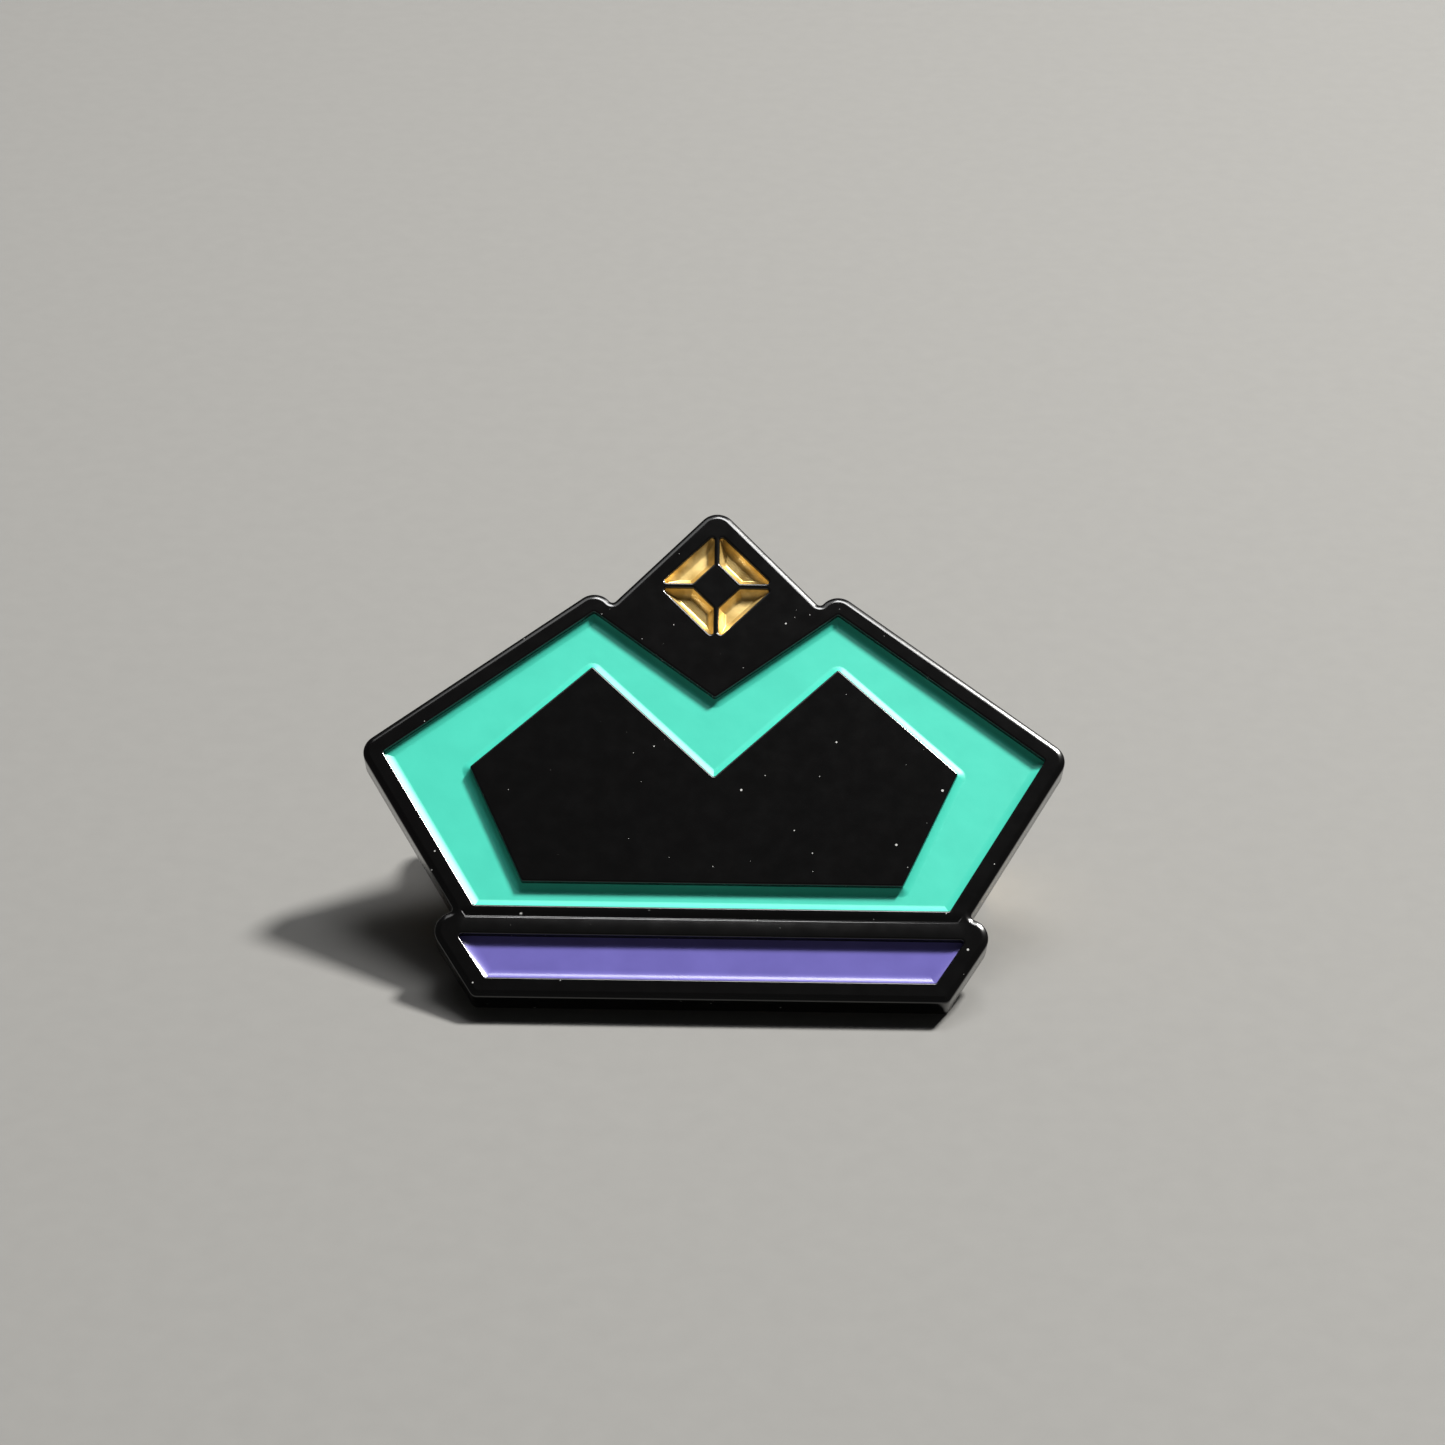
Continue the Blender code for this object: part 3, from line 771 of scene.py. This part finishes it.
def slotted(name, mesh):
    """The cap's mesh with both side slots cut, as a new mesh."""
    blank = add_object(name + "_blank", mesh)
    cutters = []
    for across in (-1, 1):
        start, end = sorted((across * SLOT_START, across * (COVER_RADIUS + CUT_MARGIN)))
        low = (start, 0.0, -SLOT_HALF_WIDTH)
        high = (end, COVER_TOP + CUT_MARGIN, SLOT_HALF_WIDTH)
        cutter = add_object("slot_cutter", box_mesh("slot_cutter", low, high))
        cutters.append(cutter)
        modifier = blank.modifiers.new("slot", "BOOLEAN")
        modifier.solver = "EXACT"
        modifier.object = cutter
    edges = blank.modifiers.new("edges", "BEVEL")
    edges.width = COVER_EDGE * MM
    edges.segments = 2
    edges.limit_method = "ANGLE"
    edges.angle_limit = math.radians(50.0)
    bpy.context.view_layer.update()
    graph = bpy.context.evaluated_depsgraph_get()
    result = bpy.data.meshes.new_from_object(blank.evaluated_get(graph))
    for extra in [blank] + cutters:
        bpy.data.objects.remove(extra, do_unlink=True)
    result.materials.clear()
    result.shade_smooth()
    result.set_sharp_from_angle(angle=math.radians(35.0))
    return result


def make_cover(side, finishes, place):
    """The clutch's cap: a round box over the spring, dimpled round its hole and slotted for the wings."""
    inside = COVER_RADIUS - COVER_WALL
    bottom = CLUTCH_FLOOR + SHEET + GAP
    ceiling = COVER_TOP - COVER_WALL
    corner = (COVER_RADIUS - COVER_CORNER, COVER_TOP - COVER_CORNER)
    profile = [(inside, ceiling), (inside, bottom), (COVER_RADIUS, bottom)]
    profile += arc(corner, COVER_CORNER, 0.0, 90.0, steps=8)
    profile += [(radius, COVER_TOP - sink) for radius, sink in COVER_DIMPLE]
    profile.append((CLUTCH_HOLE_RADIUS, ceiling))
    name = f"{side}_cap"
    mesh = slotted(name, turned(name + "_turned", profile, closed=True))
    piece(name, mesh, finishes["brass"], place, f"{side}_cap", f"{side}_clutch_cover")


def make_spring(side, finishes, place):
    """The hairpin wire that grips the post between its two legs."""
    bend = POST_RADIUS + SPRING_WIRE_RADIUS + GAP
    leg = [(bend + SPRING_FLARE, SPRING_LEG_BACK)]
    leg += [(bend + SPRING_SPREAD, SPRING_LEG_BACK + SPRING_FLARE_LENGTH), (bend, SPRING_GRIP_BACK)]
    hairpin = arc((0.0, SPRING_LEG_FRONT), bend, 0.0, 180.0, steps=16)
    route = leg + hairpin + [(-x, z) for x, z in reversed(leg)]
    name = f"{side}_spring_wire"
    curve = bpy.data.curves.new(name, "CURVE")
    curve.dimensions = "3D"
    spline = curve.splines.new("POLY")
    spline.points.add(len(route) - 1)
    for point, (x, z) in zip(spline.points, route):
        point.co = (x * MM, SPRING_HEIGHT * MM, z * MM, 1.0)
    curve.bevel_depth = SPRING_WIRE_RADIUS * MM
    curve.bevel_resolution = 5
    curve.use_fill_caps = True
    piece(name, curve, finishes["steel"], place, f"{side}_cap", f"{side}_grip_spring")


def wing_stations():
    """The wing as (x, height, half width) along its middle line, from the foot to the finger tip."""
    stations = [(WING_FOOT_X, WING_HINGE_HEIGHT, WING_FOOT_HALF_WIDTH)]
    start = Vector((WING_HINGE_X, WING_HINGE_HEIGHT))
    end = Vector((WING_TIP_X, WING_TIP_HEIGHT))
    bulge = Vector((WING_TIP_X - WING_BEND_INSET, WING_HINGE_HEIGHT + WING_BEND_RISE))
    for i in range(WING_STEPS + 1):
        t = 1.0 - (1.0 - i / WING_STEPS) ** WING_STEP_EASE
        spot = start * (1.0 - t) ** 2 + bulge * (2.0 * t * (1.0 - t)) + end * t**2
        left = (1.0 - t) * (end - start).length
        width = WING_FOOT_HALF_WIDTH
        width += (WING_HANDLE_HALF_WIDTH - WING_FOOT_HALF_WIDTH) * min(1.0, WING_WIDENING * t)
        if left < WING_TIP_CORNER:
            short = 1.0 - left / WING_TIP_CORNER
            width -= WING_TIP_CORNER * (1.0 - math.sqrt(max(0.0, 1.0 - short * short)))
        stations.append((spot.x, spot.y, width))
    return stations


def wing_section(width):
    """Rounded section across the wing, as (along the hinge, through the sheet) points."""
    half = SHEET / 2.0
    across = width - WING_EDGE
    through = half - WING_EDGE
    points = arc((across, through), WING_EDGE, 0.0, 90.0, steps=3)
    points += arc((-across, through), WING_EDGE, 90.0, 180.0, steps=3)
    points += arc((-across, -through), WING_EDGE, 180.0, 270.0, steps=3)
    points += arc((across, -through), WING_EDGE, 270.0, 360.0, steps=3)
    return points


def make_wing(name, across, finishes, place, body, cad_node):
    """One finger wing, bent from sheet; across is 1 or -1. Its place is on its hinge."""
    stations = wing_stations()
    bm = bmesh.new()
    rings = []
    for i, (x, height, width) in enumerate(stations):
        before = Vector(stations[max(i - 1, 0)][:2])
        after = Vector(stations[min(i + 1, len(stations) - 1)][:2])
        along = (after - before).normalized()
        thick = Vector((-along.y, along.x))
        middle = Vector((x - WING_HINGE_X, height - WING_HINGE_HEIGHT))
        row = []
        for z, through in wing_section(width):
            spot = middle + thick * through
            row.append(bm.verts.new((across * spot.x, spot.y, z)))
        rings.append(row)
    skin(bm, rings)
    bm.faces.new(rings[0])
    bm.faces.new(rings[-1])
    piece(name, finished_mesh(bm, name), finishes["brass"], place, body, cad_node)


def make_clutch(side, outward, finishes, place, joint_places):
    """One butterfly clutch; outward is the side, -1 or 1, of the wing further from the pin's middle."""
    make_clutch_base(side, finishes, place)
    make_cover(side, finishes, place)
    make_spring(side, finishes, place)
    for where, across in (("outer", outward), ("inner", -outward)):
        hinge = joint_places[f"{side}_{where}_squeeze"]
        body = f"{side}_{where}_lever"
        make_wing(f"{side}_{where}_handle", across, finishes, hinge, body, f"{side}_{where}_wing")


# ---------------------------------------------------------------- stage


def make_floor():
    """The plain floor, which isn't part of the object."""
    bm = bmesh.new()
    bmesh.ops.create_grid(bm, x_segments=4, y_segments=4, size=FLOOR_HALF_SIZE)
    mesh = finished_mesh(bm, "floor")
    mesh.materials.append(floor_paint())
    add_object("floor", mesh)


def make_camera(face):
    """The camera: it looks along +Y and down, a little rolled, at a point on the face."""
    pitch, roll = math.radians(CAMERA_PITCH), math.radians(CAMERA_ROLL)
    forward = Vector((0.0, math.cos(pitch), -math.sin(pitch)))
    level_up = Vector((0.0, math.sin(pitch), math.cos(pitch)))
    level_right = Vector((1.0, 0.0, 0.0))
    right = level_right * math.cos(roll) + level_up * math.sin(roll)
    up = level_up * math.cos(roll) - level_right * math.sin(roll)
    aimed = face @ (Vector((0.0, 0.0, AIM_HEIGHT)) * MM)
    place = aimed - (forward + right * AIM_RIGHT + up * AIM_UP) * CAMERA_DISTANCE * MM
    data = bpy.data.cameras.new("camera")
    data.lens = LENS
    data.sensor_width = SENSOR_WIDTH
    data.clip_start = 0.005
    data.clip_end = 10.0
    camera = add_object("camera", data)
    turn = Matrix((right, up, -forward)).transposed()
    camera.matrix_world = Matrix.Translation(place) @ turn.to_4x4()
    bpy.context.scene.camera = camera


def area_light(name, direction, power, colour, shape, size):
    """An area light LIGHT_DISTANCE away in a direction, turned to face the origin."""
    toward = Vector(direction).normalized()
    data = bpy.data.lights.new(name, "AREA")
    data.shape = shape
    data.size, data.size_y = size
    data.energy = power
    data.color = colour
    light = add_object(name, data)
    turn = toward.to_track_quat("Z", "Y").to_matrix().to_4x4()
    light.matrix_world = Matrix.Translation(toward * LIGHT_DISTANCE) @ turn


def make_lights():
    """The key light, a dim softbox, and a strip that the purple bar's lower edge mirrors."""
    area_light("key", KEY_DIRECTION, KEY_POWER, KEY_COLOUR, "DISK", KEY_SIZE)
    area_light("softbox", SOFTBOX_DIRECTION, SOFTBOX_POWER, WHITE, "RECTANGLE", SOFTBOX_SIZE)
    area_light("strip", STRIP_DIRECTION, STRIP_POWER, WHITE, "RECTANGLE", STRIP_SIZE)


def make_world():
    """A dim studio, a little lighter round the sides than overhead."""
    world = bpy.data.worlds.new("studio")
    bpy.context.scene.world = world
    world.use_nodes = True
    tree = world.node_tree
    direction = node(tree, "ShaderNodeTexCoord").outputs["Generated"]
    height = node(tree, "ShaderNodeSeparateXYZ", {"Vector": direction}).outputs["Z"]
    level = remap(tree, height, 0.0, WORLD_OVERHEAD, 1.0, 0.0)
    tree.links.new(blend(tree, level, *WORLD_TONES), tree.nodes["Background"].inputs["Color"])
    tree.nodes["Background"].inputs["Strength"].default_value = WORLD_STRENGTH


# ---------------------------------------------------------------- the whole scene


def turned_place(position, axis):
    """Places a frame at position whose +Y is axis and whose +X is the world's."""
    along = Vector(axis).normalized()
    across = Vector((1.0, 0.0, 0.0))
    up = across.cross(along)
    return Matrix.Translation(Vector(position)) @ Matrix((across, along, up)).transposed().to_4x4()


def main():
    """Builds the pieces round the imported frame, then the stage."""
    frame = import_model()
    mount = frame["record"]["mounts"][0]
    face = turned_place(mount["pos_m"], mount["axis"])
    face = face @ Matrix.Translation(Vector((0.0, -THICKNESS, -MOUNT_HEIGHT)) * MM)
    joint_places = {
        joint["name"]: turned_place(joint["pos_m"], mount["axis"])
        for joint in frame["joints"]
        if "pos_m" in joint
    }
    finishes = {
        "black": black_plating(),
        "teal": enamel("teal_enamel", TEAL, roughness=0.42, shine=0.36, peel_mm=0.002),
        "purple": enamel("purple_enamel", PURPLE, roughness=0.22, shine=0.6, peel_mm=0.0008),
        "gold": gold_paint(),
        "brass": stamped_brass(),
        "steel": drawn_steel(),
        "solder": dark_solder(),
    }
    make_plate(finishes["black"], face)
    make_fills(finishes, face)
    for side, outward in (("left", -1), ("right", 1)):
        place = joint_places[f"{side}_clutch_spin"]
        make_post(side, finishes, place)
        make_clutch(side, outward, finishes, place, joint_places)
    make_floor()
    make_camera(face)
    make_lights()
    make_world()
    bpy.context.scene.view_settings.view_transform = "Standard"


main()
